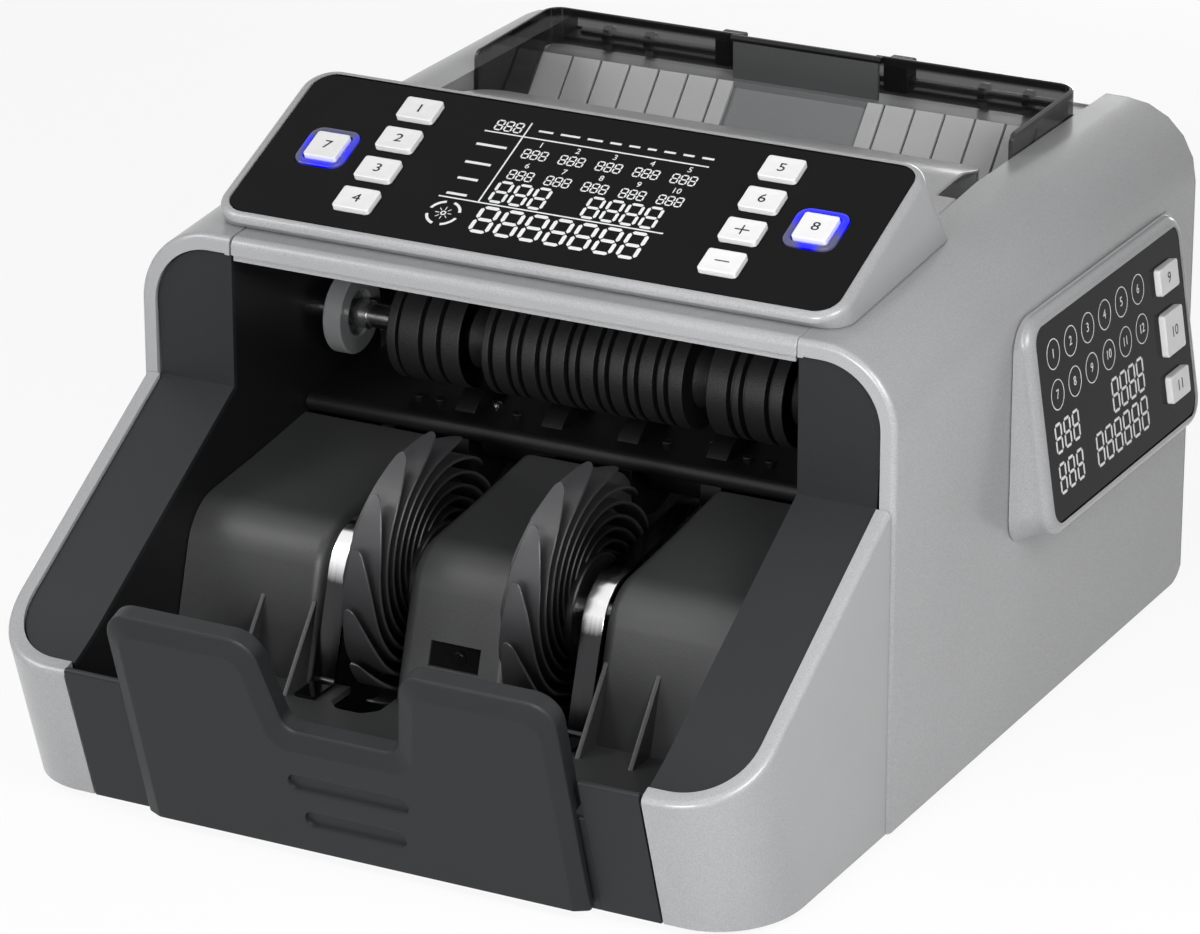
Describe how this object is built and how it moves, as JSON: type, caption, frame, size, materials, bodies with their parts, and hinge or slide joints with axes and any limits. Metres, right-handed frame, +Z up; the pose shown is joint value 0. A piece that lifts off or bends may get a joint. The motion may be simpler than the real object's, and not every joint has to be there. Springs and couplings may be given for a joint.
{
  "type": "banknote counter",
  "caption": "Desktop banknote counter with rear hopper, roller bay, bladed stacker wheels, open front pocket, sloping key panel and side display pod.",
  "frame": {"origin": "under the middle of the machine's bounding box, on the surface its feet stand on", "axes": "+X to the machine's right, +Y from the front pocket to the rear face, +Z up"},
  "size_m": [0.2954, 0.3742, 0.205],
  "materials": {
    "silver_paint": "satin silver paint on moulded plastic",
    "dark_plastic": "fine-grained dark grey moulding",
    "black_plastic": "matt black moulding",
    "black_glass": "glossy black display window with printed marks",
    "white_key": "satin white key cap",
    "blue_ring": "clear blue light ring",
    "smoked_plastic": "smoked clear plastic",
    "bright_steel": "bright ground steel",
    "sheet_steel": "zinc-plated sheet steel",
    "rubber": "matt black rubber",
    "grey_plastic": "mid-grey moulding"
  },
  "bodies": {
    "housing": {"base_pan": "sheet_steel", "front_left_foot": "rubber", "front_right_foot": "rubber", "rear_left_foot": "rubber", "rear_right_foot": "rubber", "left_side_frame": "sheet_steel", "right_side_frame": "sheet_steel", "pocket_tray": "dark_plastic", "front_stop_plate": "dark_plastic", "left_guide_strip": "bright_steel", "right_guide_strip": "bright_steel", "left_cheek_panel": "dark_plastic", "right_cheek_panel": "dark_plastic", "left_side_cover": "silver_paint", "right_side_cover": "silver_paint", "left_front_cover": "silver_paint", "right_front_cover": "silver_paint", "bridge_hood": "silver_paint", "rear_cover": "silver_paint", "panel_housing": "silver_paint", "panel_glass": "black_glass", "left_key_ring": "blue_ring", "right_key_ring": "blue_ring", "side_pod_bezel": "silver_paint", "side_pod_glass": "black_glass", "outlet_guide": "black_plastic", "drive_motor": "sheet_steel", "drive_belt": "rubber", "pickup_belt": "rubber", "hopper_ramp": "grey_plastic", "guide_rail": "bright_steel", "power_inlet": "black_plastic"},
    "stacker": {"stacker_shaft": "bright_steel", "left_stacker_wheel": "dark_plastic", "right_stacker_wheel": "dark_plastic"},
    "upper_rollers": {"upper_roller_shaft": "bright_steel", "upper_roller_sleeves": "rubber", "upper_end_disc": "grey_plastic"},
    "lower_rollers": {"lower_roller": "rubber"},
    "pickup_rollers": {"pickup_roller": "rubber"},
    "motor_rotor": {"motor_pulley": "grey_plastic"},
    "left_note_guide": {"left_guide_wing": "smoked_plastic", "left_guide_block": "black_plastic"},
    "right_note_guide": {"right_guide_wing": "smoked_plastic", "right_guide_block": "black_plastic"},
    "left_key_1": {"left_key_1": "white_key"},
    "left_key_2": {"left_key_2": "white_key"},
    "left_key_3": {"left_key_3": "white_key"},
    "left_key_4": {"left_key_4": "white_key"},
    "right_key_1": {"right_key_1": "white_key"},
    "right_key_2": {"right_key_2": "white_key"},
    "right_key_3": {"right_key_3": "white_key"},
    "right_key_4": {"right_key_4": "white_key"},
    "left_ring_key": {"left_ring_key": "white_key"},
    "right_ring_key": {"right_ring_key": "white_key"},
    "side_key_1": {"side_key_1": "white_key"},
    "side_key_2": {"side_key_2": "white_key"},
    "side_key_3": {"side_key_3": "white_key"},
    "power_switch": {"power_switch": "black_plastic"},
    "gap_knob": {"gap_knob": "grey_plastic"}
  },
  "joints": [
    {"name": "stacker_spin", "type": "hinge", "parent": "housing", "child": "stacker", "pos_m": [-0.00765, -0.07332, 0.0651], "axis": [1, 0, 0], "continuous": true},
    {"name": "lower_roller_spin", "type": "hinge", "parent": "housing", "child": "lower_rollers", "pos_m": [-0.00765, 0.00508, 0.086], "axis": [1, 0, 0], "continuous": true},
    {"name": "upper_roller_spin", "type": "hinge", "parent": "housing", "child": "upper_rollers", "pos_m": [-0.00765, 0.00108, 0.1225], "axis": [1, 0, 0], "continuous": true},
    {"name": "pickup_roller_spin", "type": "hinge", "parent": "housing", "child": "pickup_rollers", "pos_m": [-0.00765, 0.12768, 0.1266], "axis": [1, 0, 0], "continuous": true},
    {"name": "motor_spin", "type": "hinge", "parent": "housing", "child": "motor_rotor", "pos_m": [0.10735, 0.08408, 0.041], "axis": [1, 0, 0], "continuous": true},
    {"name": "left_guide_slide", "type": "slide", "parent": "housing", "child": "left_note_guide", "axis": [1, 0, 0], "range_m": [0, 0.024]},
    {"name": "right_guide_slide", "type": "slide", "parent": "housing", "child": "right_note_guide", "axis": [-1, 0, 0], "range_m": [0, 0.024]},
    {"name": "left_key_1_press", "type": "slide", "parent": "housing", "child": "left_key_1", "axis": [0, 0.3971, -0.9178], "range_m": [0, 0.0008], "stiffness_N_per_m": 400, "springref_m": -0.001},
    {"name": "left_key_2_press", "type": "slide", "parent": "housing", "child": "left_key_2", "axis": [0, 0.3971, -0.9178], "range_m": [0, 0.0008], "stiffness_N_per_m": 400, "springref_m": -0.001},
    {"name": "left_key_3_press", "type": "slide", "parent": "housing", "child": "left_key_3", "axis": [0, 0.3971, -0.9178], "range_m": [0, 0.0008], "stiffness_N_per_m": 400, "springref_m": -0.001},
    {"name": "left_key_4_press", "type": "slide", "parent": "housing", "child": "left_key_4", "axis": [0, 0.3971, -0.9178], "range_m": [0, 0.0008], "stiffness_N_per_m": 400, "springref_m": -0.001},
    {"name": "right_key_1_press", "type": "slide", "parent": "housing", "child": "right_key_1", "axis": [0, 0.3971, -0.9178], "range_m": [0, 0.0008], "stiffness_N_per_m": 400, "springref_m": -0.001},
    {"name": "right_key_2_press", "type": "slide", "parent": "housing", "child": "right_key_2", "axis": [0, 0.3971, -0.9178], "range_m": [0, 0.0008], "stiffness_N_per_m": 400, "springref_m": -0.001},
    {"name": "right_key_3_press", "type": "slide", "parent": "housing", "child": "right_key_3", "axis": [0, 0.3971, -0.9178], "range_m": [0, 0.0008], "stiffness_N_per_m": 400, "springref_m": -0.001},
    {"name": "right_key_4_press", "type": "slide", "parent": "housing", "child": "right_key_4", "axis": [0, 0.3971, -0.9178], "range_m": [0, 0.0008], "stiffness_N_per_m": 400, "springref_m": -0.001},
    {"name": "left_ring_key_press", "type": "slide", "parent": "housing", "child": "left_ring_key", "axis": [0, 0.3971, -0.9178], "range_m": [0, 0.0008], "stiffness_N_per_m": 400, "springref_m": -0.001},
    {"name": "right_ring_key_press", "type": "slide", "parent": "housing", "child": "right_ring_key", "axis": [0, 0.3971, -0.9178], "range_m": [0, 0.0008], "stiffness_N_per_m": 400, "springref_m": -0.001},
    {"name": "side_key_1_press", "type": "slide", "parent": "housing", "child": "side_key_1", "axis": [-0.989, 0, -0.1478], "range_m": [0, 0.0008], "stiffness_N_per_m": 400, "springref_m": -0.001},
    {"name": "side_key_2_press", "type": "slide", "parent": "housing", "child": "side_key_2", "axis": [-0.989, 0, -0.1478], "range_m": [0, 0.0008], "stiffness_N_per_m": 400, "springref_m": -0.001},
    {"name": "side_key_3_press", "type": "slide", "parent": "housing", "child": "side_key_3", "axis": [-0.989, 0, -0.1478], "range_m": [0, 0.0008], "stiffness_N_per_m": 400, "springref_m": -0.001},
    {"name": "power_rocker", "type": "hinge", "parent": "housing", "child": "power_switch", "pos_m": [-0.04965, 0.18283, 0.037], "axis": [1, 0, 0], "range_deg": [0, 8]},
    {"name": "gap_knob_turn", "type": "hinge", "parent": "housing", "child": "gap_knob", "pos_m": [-0.00765, 0.17708, 0.143], "axis": [1, 0, 0], "continuous": true}
  ],
  "couplings": [
    {"joint": "lower_roller_spin", "follows": "stacker_spin", "ratio": 2},
    {"joint": "upper_roller_spin", "follows": "stacker_spin", "ratio": -2},
    {"joint": "pickup_roller_spin", "follows": "stacker_spin", "ratio": 2},
    {"joint": "motor_spin", "follows": "stacker_spin", "ratio": 3}
  ]
}
